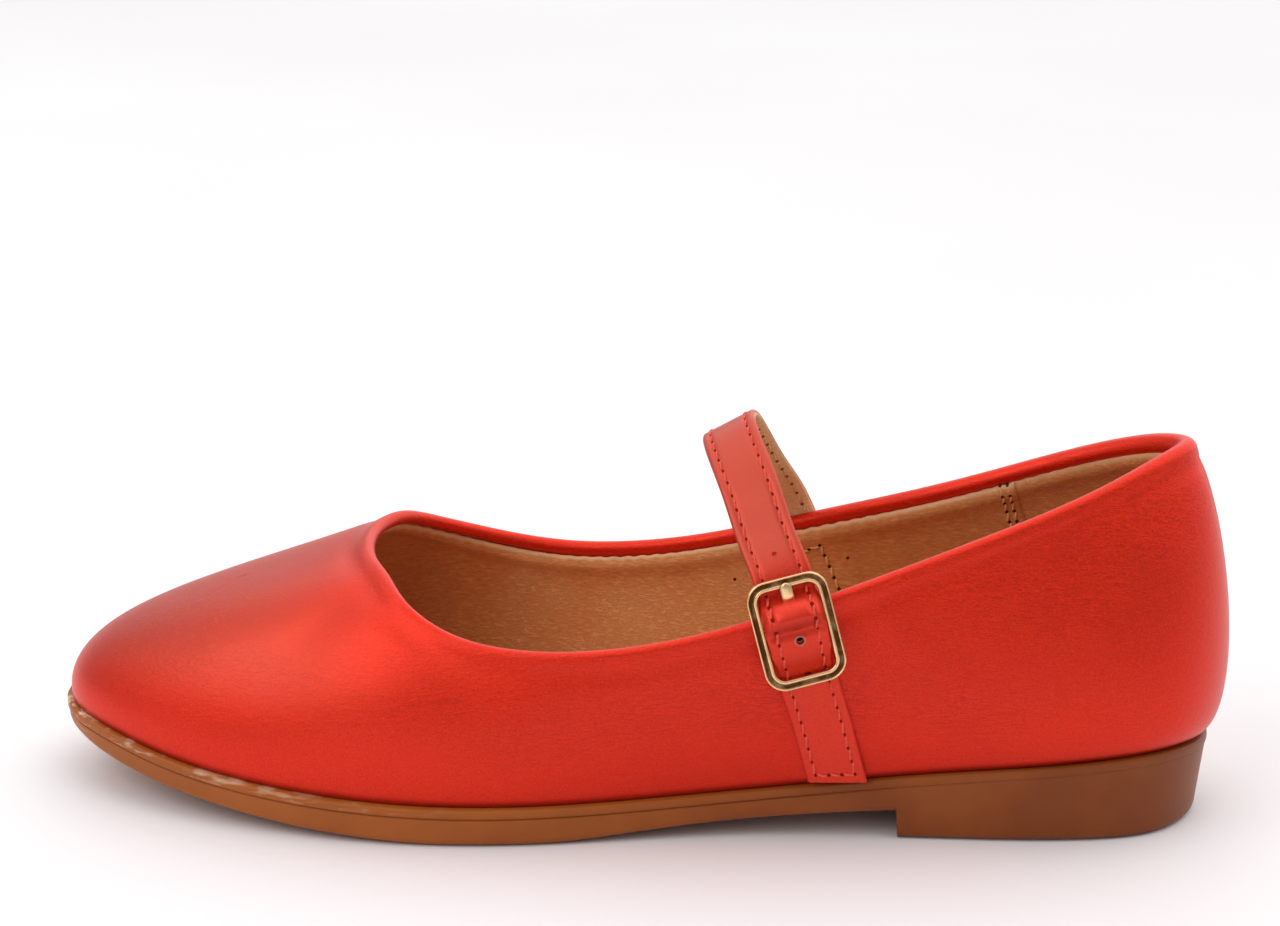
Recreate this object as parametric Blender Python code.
"""Mary Jane ballet flat, left shoe: unit sole, hollow upper, footbed, strap and buckle.

The toe points along +X, the outer (lateral) side of the foot is +Y, and the sole
stands on Z = 0.  Sizes are millimetres, and MM turns them into Blender's metres.
Tables give places on the sample last: along it from the back of the sole to its tip,
across it from the last's middle line, and up from the floor.  GRADE stretches the
sample to the size that is made.
"""

import math
from collections import namedtuple

import bmesh
import bpy
import numpy as np
from mathutils import Vector

MM = 0.001
GAP = 0.3

# Driving dimensions, a women's EU 38: the sole's length, the width over the ball of
# the foot and the height of the collar at the heel, beside those of the sample last.
SOLE_LENGTH = 250.0
BALL_WIDTH = 82.0
COLLAR_HEIGHT = 82.0
SAMPLE = (250.0, 82.0, 82.0)
GRADE = np.array((SOLE_LENGTH, BALL_WIDTH, COLLAR_HEIGHT)) / SAMPLE

# Where the heel block ends in front, and the short run of its steep front face.
HEEL_BREAST = 66.0
BREAST_STEP = 0.4

# Walls and layers.
UPPER_WALL = 1.8
ROLL_STEP = 0.6
ROLL_ARC = (-45, -10, 25, 60, 90, 120, 155, 190, 225)
FOOTBED_THICKNESS = 3.0
FOOTBED_BEVEL = (0.8, 0.6)
FOOTBED_CLEARANCE = 0.5

# Strap: its cross-section, how far its middle lies off the leather, and the slant of
# its free end over the last stretch of its length, which leaves it level.
STRAP_WIDTH = 12.0
STRAP_THICKNESS = 1.6
STRAP_BEVEL = 0.3
STRAP_STAND_OFF = STRAP_THICKNESS / 2 + GAP + 0.2
END_SLANT = -15.0
END_SLANT_LENGTH = 12.0

# Folded tab: ply, width, how far below the hinge bar it ends, and the slot in its fold
# for the prong, from below the bar to above it.
TAB_PLY = 0.7
TAB_WIDTH = 10.0
TAB_END = -4.8
TAB_LIFT = 0.2
SLOT_LOW, SLOT_HIGH = -2.4, 3.0
SLOT_BACK, SLOT_FRONT = -4.0, 2.0

# Buckle, in its own plane: frame outside sizes, the bar it hangs on, and its prong.
FRAME_LENGTH = 23.0
FRAME_WIDTH = 17.0
FRAME_CORNER = 4.3
FRAME_BAR = 2.1
FRAME_DEPTH = 1.8
FRAME_BEVEL = 0.3
FRAME_GROOVE = 0.35
HINGE_RADIUS = 0.7
HINGE_DROP = 0.9
RUNNING_GAP = 0.25
PRONG_WIDTH = 2.2
PRONG_THICKNESS = 1.0
PRONG_RING = range(75, 345, 30)

# Where the buckle sits on the lateral side, how far off the leather its middle plane
# is, how far the strap leans towards the toe there, and how far in towards the foot.
BUCKLE_ALONG = 88.3
BUCKLE_HEIGHT = 48.1
BUCKLE_STAND_OFF = 3.4
BUCKLE_LEAN = 15.5
BUCKLE_INWARD = 7.0
BUCKLE_TURN = 8.5

# The frame's origin lies on the floor under the middle of the whole shoe.
ORIGIN_ALONG = 123.1
ORIGIN_ACROSS = 0.0

# Mesh steps.
LOOP_STEPS = 64
WALL_STEPS = 10
SOLE_STATIONS = 44
STRAP_STEPS = 80
PRONG_STEPS = 30
ROD_SIDES = 14
CORNER_STEPS = 5

# One row for each rib of the last, clockwise seen from above: heel, lateral side, toe,
# medial side.  edge_* is the rim of the sole, inset the width of rim left outside the
# upper, top_* the crest of the topline and roll the radius of its rolled edge.  The
# rib leaves the sole towards a point "bulge" outside and "rise" above its foot, and
# comes to the topline from a point "reach" outside and "drop" below it.
Rib = namedtuple(
    "Rib",
    "edge_along edge_across inset top_along top_across top_height bulge rise reach drop roll",
)
RIBS = (
    Rib(0.0, 0.0, 1.2, 7.5, 0.0, 82.4, 9.0, 3.5, 9.8, 15.0, 2.3),
    Rib(6.5, 17.0, 1.2, 12.2, 7.6, 81.2, 8.4, 5.0, 9.5, 17.0, 2.2),
    Rib(24.0, 26.0, 1.2, 26.0, 16.5, 75.7, 7.2, 9.0, 9.0, 20.0, 2.0),
    Rib(50.0, 28.3, 1.3, 50.0, 22.8, 66.0, 5.5, 12.0, 6.5, 18.0, 1.8),
    Rib(80.0, 29.0, 1.4, 79.0, 29.4, 55.6, 4.0, 11.0, 4.0, 14.0, 1.6),
    Rib(108.0, 32.0, 1.5, 107.0, 33.7, 46.7, 3.2, 10.0, 2.5, 12.0, 1.5),
    Rib(136.0, 38.0, 1.6, 135.0, 36.0, 42.6, 3.0, 10.0, 3.5, 11.0, 1.5),
    Rib(162.0, 41.3, 1.7, 157.0, 33.2, 44.2, 3.2, 11.0, 7.5, 10.0, 1.5),
    Rib(188.0, 39.3, 1.8, 169.5, 26.0, 49.5, 3.2, 12.0, 15.0, 8.0, 1.5),
    Rib(212.0, 32.5, 1.8, 174.5, 17.8, 52.6, 3.0, 12.0, 20.0, 8.0, 1.5),
    Rib(234.0, 21.0, 1.6, 178.2, 10.5, 53.8, 3.2, 14.0, 27.0, 10.0, 1.5),
    Rib(246.5, 8.5, 1.4, 180.0, 4.0, 54.5, 3.4, 16.0, 31.0, 12.8, 1.5),
    Rib(249.6, -4.0, 1.3, 180.6, -2.0, 54.8, 3.6, 17.0, 32.0, 14.3, 1.5),
    Rib(247.3, -15.5, 1.4, 180.3, -8.0, 54.9, 3.6, 17.5, 31.0, 14.0, 1.5),
    Rib(238.0, -27.0, 1.6, 178.9, -14.0, 54.8, 3.4, 17.0, 27.0, 12.2, 1.5),
    Rib(220.0, -36.5, 1.7, 175.7, -20.5, 54.1, 3.2, 15.0, 20.0, 9.5, 1.5),
    Rib(197.0, -41.0, 1.8, 169.5, -27.6, 50.9, 3.2, 12.0, 14.0, 9.0, 1.5),
    Rib(172.0, -40.5, 1.7, 157.0, -33.4, 46.5, 3.2, 11.0, 8.0, 10.0, 1.5),
    Rib(145.0, -35.0, 1.6, 138.0, -34.2, 44.2, 3.2, 10.0, 3.0, 11.0, 1.5),
    Rib(118.0, -28.7, 1.5, 113.0, -31.4, 47.3, 3.6, 10.0, 2.0, 12.0, 1.5),
    Rib(88.0, -26.0, 1.4, 87.0, -27.4, 54.8, 4.5, 11.0, 2.5, 14.0, 1.6),
    Rib(56.0, -27.0, 1.3, 56.0, -23.0, 64.5, 6.0, 12.0, 6.0, 18.0, 1.8),
    Rib(27.0, -26.0, 1.2, 27.0, -16.5, 75.6, 7.2, 9.0, 9.0, 20.0, 2.0),
    Rib(7.0, -17.5, 1.2, 12.2, -7.6, 81.2, 8.4, 5.0, 9.5, 17.0, 2.2),
)

# Height of the sole's upper rim and of its underside along the shoe.
Seat = namedtuple("Seat", "along height")
SEAT = (
    Seat(0.0, 17.8),
    Seat(5.0, 18.9),
    Seat(14.0, 19.1),
    Seat(30.0, 17.8),
    Seat(56.0, 15.4),
    Seat(80.0, 12.7),
    Seat(105.0, 10.2),
    Seat(130.0, 8.9),
    Seat(155.0, 8.6),
    Seat(180.0, 9.1),
    Seat(205.0, 10.6),
    Seat(225.0, 13.0),
    Seat(240.0, 15.6),
    Seat(250.0, 16.6),
)
Under = namedtuple("Under", "along height")
ARCH = (
    Under(66.0, 6.2),
    Under(80.0, 5.3),
    Under(95.0, 4.1),
    Under(110.0, 2.7),
    Under(124.0, 1.2),
    Under(136.0, 0.15),
    Under(146.0, 0.0),
    Under(163.0, 0.0),
    Under(174.0, 0.4),
    Under(190.0, 1.5),
    Under(210.0, 3.7),
    Under(228.0, 6.4),
    Under(242.0, 9.6),
    Under(250.0, 12.0),
)

# The sole's side, from its upper rim down.  "from_top" rows lie "depth" below the
# rim; the others lie "depth" above the underside.  "out" is measured from a wall
# that leans in by SIDE_DRAFT for each millimetre below the rim.
SIDE_DRAFT = 0.11
Step = namedtuple("Step", "from_top depth out")
SOLE_SIDE = (
    Step(True, 0.0, -0.7),
    Step(True, 0.5, 0.0),
    Step(True, 1.9, 0.1),
    Step(True, 2.2, -0.35),
    Step(True, 2.6, -0.1),
    Step(False, 1.5, -0.2),
    Step(False, 0.5, -0.6),
    Step(False, 0.0, -1.7),
)

# The strap's middle line.  Its two ends lie on the sides of the upper, "off" it; the
# weave is measured in the buckle's plane; the arch is free.
Tail = namedtuple("Tail", "along height off")
LATERAL_TAIL = (
    Tail(79.0, 14.4, 1.9),
    Tail(80.7, 21.0, STRAP_STAND_OFF + 0.1),
    Tail(83.0, 29.5, STRAP_STAND_OFF),
)
Weave = namedtuple("Weave", "climb off")
WEAVE = (
    Weave(-10.6, -2.1),
    Weave(-8.2, -1.65),
    Weave(-4.4, 0.6),
    Weave(0.0, 2.15),
    Weave(4.4, 0.6),
    Weave(8.2, -1.65),
    Weave(10.6, -2.1),
)
Arch = namedtuple("Arch", "along across height")
STRAP_ARCH = (
    Arch(94.4, 27.2, 65.0),
    Arch(98.2, 20.8, 73.4),
    Arch(101.9, 12.0, 79.5),
    Arch(103.8, 3.0, 81.8),
    Arch(103.2, -5.5, 79.9),
    Arch(100.6, -14.5, 72.9),
    Arch(97.2, -21.0, 65.0),
)
MEDIAL_TAIL = (
    Tail(92.6, 54.6, STRAP_STAND_OFF + 0.4),
    Tail(88.6, 46.0, STRAP_STAND_OFF),
    Tail(84.6, 37.5, STRAP_STAND_OFF),
    Tail(81.4, 30.5, STRAP_STAND_OFF + 0.1),
)
ARCH_LEAN = 27.0
ARCH_TURN = 12.0

# The prong's middle line from its ring on the hinge bar through the strap to its tip.
PRONG_PATH = (
    Weave(2.6, -0.75),
    Weave(4.1, -0.35),
    Weave(5.4, 0.75),
    Weave(6.9, 1.55),
    Weave(8.6, 1.75),
    Weave(10.6, 1.75),
)


def spline(knots, values, at, period=None):
    """Smooth curve through rows of values: natural at its ends, or closed over period."""
    knots = np.asarray(knots, float)
    values = np.asarray(values, float)
    if period is not None:
        knots = np.append(knots, knots[0] + period)
        values = np.vstack([values, values[:1]])
    count = len(knots)
    width = np.diff(knots)
    slope = np.diff(values, axis=0) / width[:, None]
    matrix = np.zeros((count, count))
    wanted = np.zeros_like(values)
    for row in range(1, count - 1):
        matrix[row, row - 1] = width[row - 1]
        matrix[row, row] = 2 * (width[row - 1] + width[row])
        matrix[row, row + 1] = width[row]
        wanted[row] = 6 * (slope[row] - slope[row - 1])
    matrix[0, 0] = 1.0
    matrix[-1, -1] = 1.0
    if period is not None:
        matrix[0, :] = 0.0
        matrix[0, 0] = 2 * (width[0] + width[-1])
        matrix[0, 1] = width[0]
        matrix[0, -2] = width[-1]
        wanted[0] = 6 * (slope[0] - slope[-1])
        matrix[-1, 0] = -1.0
    bend = np.linalg.solve(matrix, wanted)
    at = np.asarray(at, float)
    if period is not None:
        at = knots[0] + (at - knots[0]) % period
    cell = np.clip(np.searchsorted(knots, at, side="right") - 1, 0, count - 2)
    span = width[cell][:, None]
    left = (knots[cell + 1] - at)[:, None]
    right = (at - knots[cell])[:, None]
    cubic = (bend[cell] * left**3 + bend[cell + 1] * right**3) / (6 * span)
    line = values[cell] * left + values[cell + 1] * right
    return cubic + line / span - span * (bend[cell] * left + bend[cell + 1] * right) / 6


def run_along(points):
    """Distance run at each point of a line, from its first point."""
    steps = np.linalg.norm(np.diff(points, axis=0), axis=1)
    return np.concatenate([[0.0], np.cumsum(steps)])


def profile(table, along):
    """Height of a two-column table of rows at places along the shoe."""
    rows = np.array(table)
    return spline(rows[:, 0], rows[:, 1:], np.atleast_1d(along))[:, 0]


def rib_knots():
    """How far round the shoe each rib lies: the mean of the steps of rim and topline."""
    rim = np.array([(rib.edge_along, rib.edge_across) for rib in RIBS])
    top = np.array([(rib.top_along, rib.top_across, rib.top_height) for rib in RIBS])
    steps = np.linalg.norm(np.roll(rim, -1, 0) - rim, axis=1)
    steps = steps + np.linalg.norm(np.roll(top, -1, 0) - top, axis=1)
    return np.concatenate([[0.0], np.cumsum(steps)[:-1]]), steps.sum()


def outward(loop):
    """Level unit normals that point out of a closed loop of points."""
    ahead = np.roll(loop, -1, 0) - np.roll(loop, 1, 0)
    normal = np.stack([-ahead[:, 1], ahead[:, 0], np.zeros(len(loop))], 1)
    return normal / np.linalg.norm(normal, axis=1)[:, None]


def rib_loops(count):
    """Rim, foot, topline and shape columns at count places round the shoe."""
    knots, around = rib_knots()
    places = np.arange(count) * around / count
    columns = spline(knots, np.array(RIBS), places, around)
    rim = np.column_stack([columns[:, 0:2], np.zeros(count)])
    top = columns[:, 3:6]
    rim_normal = outward(rim)
    foot = rim - rim_normal * columns[:, 2:3]
    foot[:, 2] = profile(SEAT, foot[:, 0]) + GAP
    return rim, rim_normal, foot, top, outward(top), columns[:, 6:]


def rim_side(side):
    """Along, across and normal of one side of the sole's rim, from heel to tip."""
    rim, normal = rib_loops(1440)[:2]
    heel = int(np.argmin(rim[:, 0]))
    order = (np.arange(len(rim)) * side + heel) % len(rim)
    tip = int(np.argmax(rim[order, 0]))
    order = order[: tip + 1]
    return rim[order], normal[order]


def bezier(start, leave, arrive, end, steps):
    """Points of many cubic arcs at once: one row for each arc."""
    part = np.linspace(0.0, 1.0, steps)[None, :, None]
    back = 1.0 - part
    return (
        back**3 * start[:, None]
        + 3 * back**2 * part * leave[:, None]
        + 3 * back * part**2 * arrive[:, None]
        + part**3 * end[:, None]
    )


def upper_surface(count, steps):
    """Grid of points on the outside of the upper, from its foot to the topline."""
    _, rim_normal, foot, top, top_normal, shape = rib_loops(count)
    up = np.array([0.0, 0.0, 1.0])
    leave = foot + rim_normal * shape[:, 0:1] + up * shape[:, 1:2]
    arrive = top + top_normal * shape[:, 2:3] - up * shape[:, 3:4]
    return bezier(foot, leave, arrive, top, steps)


def grid_normals(grid):
    """Outward unit normals of a grid that closes round its first index."""
    around = np.roll(grid, -1, 0) - np.roll(grid, 1, 0)
    upward = np.gradient(grid, axis=1)
    normal = np.cross(upward, around)
    return normal / np.linalg.norm(normal, axis=2)[:, :, None]


def place(points):
    """Sample places to the made size, in Blender's metres about the frame's origin."""
    shifted = np.asarray(points, float) - (ORIGIN_ALONG, ORIGIN_ACROSS, 0.0)
    return shifted * GRADE * MM


def material(name, colour, roughness, metallic=0.0):
    """Principled material with a plain colour."""
    made = bpy.data.materials.new(name)
    made.use_nodes = True
    shader = made.node_tree.nodes["Principled BSDF"]
    shader.inputs["Base Color"].default_value = (*colour, 1.0)
    shader.inputs["Roughness"].default_value = roughness
    shader.inputs["Metallic"].default_value = metallic
    return made


def add_object(name, bm, look, sharp_angle=40.0):
    """Clean up a mesh and link it to the scene under the shoe's empty."""
    bmesh.ops.remove_doubles(bm, verts=bm.verts, dist=0.02 * MM)
    bmesh.ops.dissolve_degenerate(bm, edges=bm.edges, dist=0.005 * MM)
    bmesh.ops.recalc_face_normals(bm, faces=bm.faces)
    mesh = bpy.data.meshes.new(name)
    bm.to_mesh(mesh)
    bm.free()
    mesh.materials.append(look)
    mesh.shade_smooth()
    mesh.set_sharp_from_angle(angle=math.radians(sharp_angle))
    made = bpy.data.objects.new(name, mesh)
    made.parent = shoe
    bpy.context.collection.objects.link(made)
    return made


def loft(sections, closed=False, capped=True):
    """Mesh through ring-shaped sections, closed on itself or with a face over each end."""
    bm = bmesh.new()
    rings = [[bm.verts.new(Vector(point)) for point in section] for section in sections]
    size = len(rings[0])
    last = len(rings) if closed else len(rings) - 1
    for index in range(last):
        here = rings[index]
        there = rings[(index + 1) % len(rings)]
        for step in range(size):
            following = (step + 1) % size
            bm.faces.new((here[step], there[step], there[following], here[following]))
    if capped and not closed:
        bm.faces.new(rings[0])
        bm.faces.new(reversed(rings[-1]))
    return bm


# ---------------------------------------------------------------- sole and footbed


def sole_section(rim_places, rim_normals, along):
    """Points down one side of the sole at one place along it."""
    across = np.interp(along, rim_places[:, 0], rim_places[:, 1])
    normal = [np.interp(along, rim_places[:, 0], rim_normals[:, axis]) for axis in (0, 1)]
    normal = np.array([*normal, 0.0])
    normal /= np.linalg.norm(normal)
    rim = np.array([along, across, profile(SEAT, along)[0]])
    under = 0.0
    if along > HEEL_BREAST + 0.5 * BREAST_STEP:
        under = max(0.0, profile(ARCH, along)[0])
    points = []
    for step in SOLE_SIDE:
        height = rim[2] - step.depth if step.from_top else under + step.depth
        point = rim + normal * (step.out - SIDE_DRAFT * (rim[2] - height))
        point[2] = height
        points.append(point)
    return points


def sole_stations():
    """Places along the sole: close together at its round ends and at the heel breast."""
    rim = rim_side(1)[0]
    turn = np.linspace(0.0, math.pi, SOLE_STATIONS)
    first, last = rim[0, 0], rim[-1, 0]
    along = first + (last - first) * (1.0 - np.cos(turn)) / 2
    nearest = int(np.argmin(abs(along - HEEL_BREAST)))
    along[nearest] = HEEL_BREAST
    return np.insert(along, nearest + 1, HEEL_BREAST + BREAST_STEP)


def make_outsole():
    """One moulded unit: rim lip, side wall, arch and heel block, pinched shut at its tips."""
    lateral = rim_side(1)
    medial = rim_side(-1)
    sections = []
    for along in sole_stations():
        near = sole_section(*lateral, along)
        far = sole_section(*medial, along)
        sections.append(place(near + far[::-1]))
    look = material("moulded_rubber", (0.22, 0.07, 0.03), 0.45)
    return add_object("outsole", loft(sections, capped=False), look, 35.0)


def make_footbed():
    """Cushioned insole that lies inside the upper on the sole, in strips from side to side."""
    _, normal, foot = rib_loops(LOOP_STEPS)[:3]
    inward, downward = FOOTBED_BEVEL
    low = foot - normal * (UPPER_WALL + FOOTBED_CLEARANCE)
    low[:, 2] = profile(SEAT, low[:, 0]) + GAP
    high = low + (0.0, 0.0, FOOTBED_THICKNESS - downward)
    crown = low - normal * inward + (0.0, 0.0, FOOTBED_THICKNESS)
    bm = bmesh.new()
    rings = []
    for loop in (low, high, crown):
        rings.append([bm.verts.new(Vector(point)) for point in place(loop)])
    for lower, higher in zip(rings, rings[1:]):
        for step in range(LOOP_STEPS):
            following = (step + 1) % LOOP_STEPS
            bm.faces.new((lower[step], lower[following], higher[following], higher[step]))
    for ring in (rings[0], rings[-1]):
        for step in range(LOOP_STEPS // 2):
            corners = (ring[step], ring[step + 1], ring[-step - 1], ring[-step])
            different = list(dict.fromkeys(corners))
            if len(different) > 2:
                bm.faces.new(different)
    look = material("insole_cover", (0.55, 0.35, 0.2), 0.6)
    return add_object("insole", bm, look)


# ---------------------------------------------------------------- upper


def make_upper():
    """Hollow lasted shell, open at the collar and underneath, with a rolled topline."""
    outer = upper_surface(LOOP_STEPS, WALL_STEPS)
    _, rim_normal, _, _, _, shape = rib_loops(LOOP_STEPS)
    normal = grid_normals(outer)
    normal[:, 0] = rim_normal
    roll = shape[:, 4:5]
    out = normal[:, -1]
    climb = outer[:, -1] - outer[:, -2]
    climb = climb - out * (climb * out).sum(1)[:, None]
    climb /= np.linalg.norm(climb, axis=1)[:, None]
    padded = 2 * roll - ROLL_STEP
    centre = outer[:, -1] - climb * roll - out * padded / 2
    growth = np.linspace(0.0, 1.0, WALL_STEPS)[None, :, None] ** 2
    lining = outer - normal * (UPPER_WALL + (padded[:, None] - UPPER_WALL) * growth)
    rings = []
    kept = WALL_STEPS - 1
    for index in range(LOOP_STEPS):
        arc = []
        for degrees in ROLL_ARC:
            angle = math.radians(degrees)
            reach = out[index] * math.cos(angle) + climb[index] * math.sin(angle)
            arc.append(centre[index] + roll[index] * reach)
        rings.append(place([*outer[index][:kept], *arc, *lining[index][:kept][::-1]]))
    look = material("pearl_leather", (0.6, 0.05, 0.03), 0.35)
    return add_object("upper", loft(rings, closed=True), look, 50.0)


# ---------------------------------------------------------------- strap and buckle


def quarter_across(side, along, height):
    """How far from the middle line one side of the upper lies at a height."""
    contour = []
    for rib in SIDE_GRID[side]:
        contour.append([np.interp(height, rib[:, 2], rib[:, axis]) for axis in (0, 1)])
    contour = np.array(sorted(contour, key=lambda point: point[0]))
    return float(np.interp(along, contour[:, 0], contour[:, 1]))


def quarter(side, along, height, off):
    """A point "off" the side of the upper, and the upper's outward normal there."""
    step = 2.0
    here = quarter_across(side, along, height)
    ahead = quarter_across(side, along + step, height)
    below = quarter_across(side, along, height - step)
    normal = side * np.array([here - ahead, step, below - here])
    normal /= np.linalg.norm(normal)
    return np.array([along, here, height]) + normal * off, normal


def buckle_axes():
    """Middle of the buckle and its climb, off and heelward directions."""
    lean, inward, turn = (math.radians(a) for a in (BUCKLE_LEAN, BUCKLE_INWARD, BUCKLE_TURN))
    climb = np.array([
        math.sin(lean),
        -math.cos(lean) * math.sin(inward),
        math.cos(lean) * math.cos(inward),
    ])
    off = np.array([-math.sin(turn), math.cos(turn), 0.0])
    off -= climb * (climb @ off)
    off /= np.linalg.norm(off)
    middle = quarter(1, BUCKLE_ALONG, BUCKLE_HEIGHT, BUCKLE_STAND_OFF)[0]
    return middle, climb, off, np.cross(climb, off)


def in_buckle(climb, off, heelward=0.0):
    """A place given in the buckle's own plane, in shoe places."""
    middle, climb_axis, off_axis, heel_axis = BUCKLE
    return middle + climb_axis * climb + off_axis * off + heel_axis * heelward


def strap_line():
    """Rows of the strap's middle line with the direction of its width."""
    rows = []
    for tail in LATERAL_TAIL:
        point, normal = quarter(1, tail.along, tail.height, tail.off)
        rows.append((*point, *np.cross(BUCKLE[1], normal)))
    for weave in WEAVE:
        rows.append((*in_buckle(weave.climb, weave.off), *BUCKLE[3]))
    lean, turn = math.radians(ARCH_LEAN), math.radians(ARCH_TURN)
    for arch in STRAP_ARCH:
        across = -math.cos(lean) * math.sin(turn)
        rows.append((*arch, -math.cos(lean) * math.cos(turn), across, math.sin(lean)))
    for tail in MEDIAL_TAIL:
        point, normal = quarter(-1, tail.along, tail.height, tail.off)
        down = np.array([-math.sin(lean), 0.0, -math.cos(lean)])
        rows.append((*point, *np.cross(down, normal)))
    return np.array(rows)


def strap_frames(steps):
    """Evenly spaced middle points of the strap, with width and outward directions."""
    rows = strap_line()
    knots = run_along(rows[:, :3])
    fine = spline(knots, rows, np.linspace(0.0, knots[-1], 20 * steps))
    run = run_along(fine[:, :3])
    even = np.linspace(0.0, run[-1], steps)
    frames = np.column_stack([np.interp(even, run, fine[:, axis]) for axis in range(6)])
    middle = frames[:, :3]
    ahead = np.gradient(middle, axis=0)
    ahead /= np.linalg.norm(ahead, axis=1)[:, None]
    width = frames[:, 3:]
    width = width - ahead * (width * ahead).sum(1)[:, None]
    width /= np.linalg.norm(width, axis=1)[:, None]
    return middle, width, np.cross(width, ahead)


def band_section(middle, width, out, half_width, half_thickness):
    """Eight corners of a flat band with bevelled edges."""
    inner_width = half_width - STRAP_BEVEL
    inner_thickness = half_thickness - STRAP_BEVEL
    corners = (
        (-half_width, -inner_thickness),
        (-half_width, inner_thickness),
        (-inner_width, half_thickness),
        (inner_width, half_thickness),
        (half_width, inner_thickness),
        (half_width, -inner_thickness),
        (inner_width, -half_thickness),
        (-inner_width, -half_thickness),
    )
    return [middle + width * across + out * thick for across, thick in corners]


def prong_sections(extra):
    """Sections of the prong, ring and stem in one, grown on all sides by extra."""
    ring = HINGE_RADIUS + RUNNING_GAP + PRONG_THICKNESS / 2
    line = []
    for degrees in PRONG_RING:
        angle = math.radians(degrees)
        line.append((ring * math.cos(angle), -HINGE_DROP + ring * math.sin(angle)))
    line += list(PRONG_PATH)
    rows = np.array(line)
    knots = run_along(rows)
    smooth = spline(knots, rows, np.linspace(0.0, knots[-1], PRONG_STEPS))
    ahead = np.gradient(smooth, axis=0)
    ahead /= np.linalg.norm(ahead, axis=1)[:, None]
    sections = []
    for (climb, off), (step_climb, step_off) in zip(smooth, ahead):
        middle = in_buckle(climb, off)
        out = BUCKLE[2] * step_climb - BUCKLE[1] * step_off
        half = (PRONG_WIDTH / 2 + extra, PRONG_THICKNESS / 2 + extra)
        sections.append(place(band_section(middle, BUCKLE[3], out, *half)))
    return sections


def cutter(name, bm):
    """A hidden solid that only shapes its neighbours."""
    bmesh.ops.recalc_face_normals(bm, faces=bm.faces)
    mesh = bpy.data.meshes.new(name)
    bm.to_mesh(mesh)
    bm.free()
    made = bpy.data.objects.new(name, mesh)
    made.parent = shoe
    made.hide_render = True
    made.display_type = "WIRE"
    bpy.context.collection.objects.link(made)
    return made


def combine(target, other, operation):
    """Exact Boolean of a hidden solid with an object."""
    step = target.modifiers.new(other.name, "BOOLEAN")
    step.object = other
    step.operation = operation
    step.solver = "EXACT"


def rod(radius, half_length):
    """Round bar across the buckle, on the hinge's axis."""
    sections = []
    for heelward in (-half_length, half_length):
        ring = []
        for index in range(ROD_SIDES):
            angle = math.tau * index / ROD_SIDES
            off = -HINGE_DROP + radius * math.sin(angle)
            ring.append(in_buckle(radius * math.cos(angle), off, heelward))
        sections.append(place(ring))
    return loft(sections)


def make_strap():
    """Two-ply strap, woven through the buckle, arched over the foot, sewn on at the far side."""
    middle, width, out = strap_frames(STRAP_STEPS)
    ahead = np.gradient(middle, axis=0)
    spacing = np.linalg.norm(ahead[0])
    fade = np.clip(1.0 - np.arange(STRAP_STEPS) * spacing / END_SLANT_LENGTH, 0.0, 1.0)
    width = width + ahead / spacing * fade[:, None] * math.tan(math.radians(END_SLANT))
    sections = []
    for frame in zip(middle, width, out):
        section = band_section(*frame, STRAP_WIDTH / 2, STRAP_THICKNESS / 2)
        sections.append(place(section))
    look = material("strap_leather", (0.6, 0.06, 0.04), 0.4)
    strap = add_object("strap", loft(sections), look)
    combine(strap, cutter("prong_hole", loft(prong_sections(GAP))), "DIFFERENCE")
    return strap


def frame_outline():
    """Middle line of the frame's bars: a rectangle with round corners, and its normals."""
    corner = FRAME_CORNER - FRAME_BAR / 2
    half_climb = (FRAME_LENGTH - FRAME_BAR) / 2 - corner
    half_heel = (FRAME_WIDTH - FRAME_BAR) / 2 - corner
    line = []
    for quadrant in range(4):
        for step in range(CORNER_STEPS + 1):
            angle = math.radians(90 * (quadrant + step / CORNER_STEPS))
            sign_climb = 1 if quadrant in (0, 3) else -1
            sign_heel = 1 if quadrant in (0, 1) else -1
            normal = (math.cos(angle), math.sin(angle))
            line.append((
                sign_climb * half_climb + corner * normal[0],
                sign_heel * half_heel + corner * normal[1],
                *normal,
            ))
    return line


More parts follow.
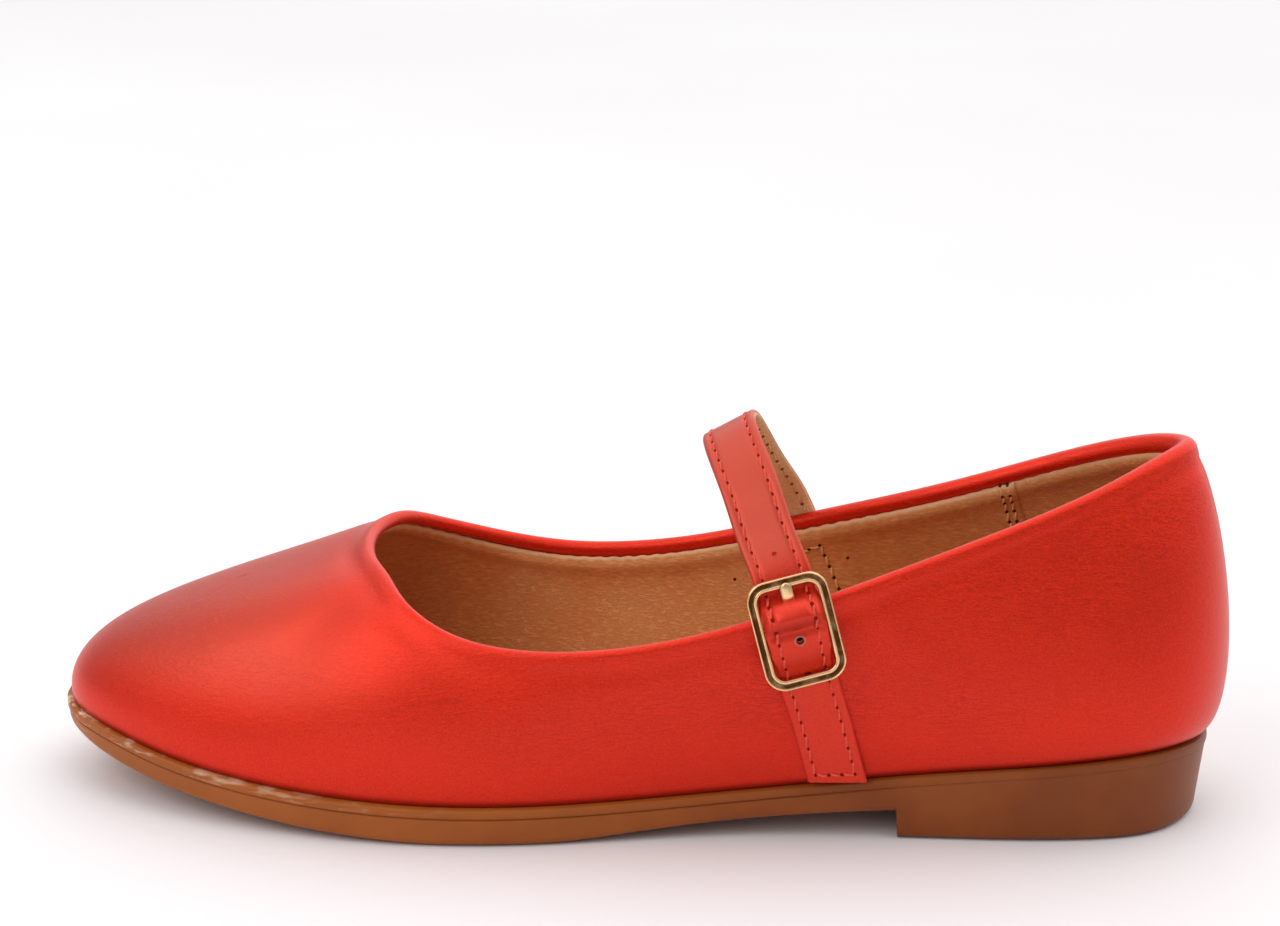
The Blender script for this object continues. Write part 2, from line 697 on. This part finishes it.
def make_buckle_frame():
    """Cast frame with a hollow front face, and the hinge bar let into its back."""
    half = FRAME_BAR / 2
    face = FRAME_DEPTH / 2
    flat = half - FRAME_BEVEL
    side = face - FRAME_BEVEL
    bar_outline = (
        (-half, -side),
        (-half, side),
        (-flat, face),
        (-FRAME_GROOVE, face),
        (0.0, face - FRAME_GROOVE),
        (FRAME_GROOVE, face),
        (flat, face),
        (half, side),
        (half, -side),
        (flat, -face),
        (-flat, -face),
    )
    sections = []
    for climb, heelward, normal_climb, normal_heel in frame_outline():
        ring = []
        for out, off in bar_outline:
            ring.append(in_buckle(climb + normal_climb * out, off, heelward + normal_heel * out))
        sections.append(place(ring))
    look = material("antique_brass", (0.5, 0.3, 0.12), 0.3, 1.0)
    frame = add_object("buckle_frame", loft(sections, closed=True), look)
    reach = (FRAME_WIDTH - FRAME_BAR) / 2
    combine(frame, cutter("hinge_bar", rod(HINGE_RADIUS, reach)), "UNION")
    return frame


def make_buckle_prong():
    """Prong that turns on the hinge bar, goes through the strap and rests on the frame."""
    look = material("antique_brass_prong", (0.5, 0.3, 0.12), 0.3, 1.0)
    return add_object("buckle_prong", loft(prong_sections(0.0)), look)


def make_buckle_tab():
    """Folded leather tab, sewn to the side of the upper, that holds the hinge bar."""
    bore = HINGE_RADIUS + RUNNING_GAP
    radius = bore + TAB_PLY
    back = -HINGE_DROP - radius - TAB_LIFT
    line = [(TAB_END, back), (TAB_END, back + 2 * TAB_PLY)]
    for degrees in range(120, -121, -20):
        angle = math.radians(degrees)
        line.append((radius * math.cos(angle), -HINGE_DROP + radius * math.sin(angle)))
    sections = []
    for heelward in (-TAB_WIDTH / 2, TAB_WIDTH / 2):
        sections.append(place([in_buckle(*point, heelward) for point in line]))
    look = material("tab_leather", (0.6, 0.06, 0.04), 0.4)
    tab = add_object("buckle_tab", loft(sections), look)
    combine(tab, cutter("tab_bore", rod(bore, TAB_WIDTH)), "DIFFERENCE")
    slot = PRONG_WIDTH / 2 + GAP
    corners = (
        (SLOT_LOW, SLOT_BACK),
        (SLOT_HIGH, SLOT_BACK),
        (SLOT_HIGH, SLOT_FRONT),
        (SLOT_LOW, SLOT_FRONT),
    )
    sections = [place([in_buckle(*corner, side) for corner in corners]) for side in (-slot, slot)]
    combine(tab, cutter("tab_slot", loft(sections)), "DIFFERENCE")
    return tab


for old in list(bpy.data.objects):
    bpy.data.objects.remove(old, do_unlink=True)
shoe = bpy.data.objects.new("shoe", None)
bpy.context.collection.objects.link(shoe)
SURFACE = upper_surface(240, 40)
SIDE_GRID = {side: [rib for rib in SURFACE if rib[20, 1] * side > 0] for side in (1, -1)}
BUCKLE = buckle_axes()
make_outsole()
make_footbed()
make_upper()
make_strap()
make_buckle_frame()
make_buckle_prong()
make_buckle_tab()
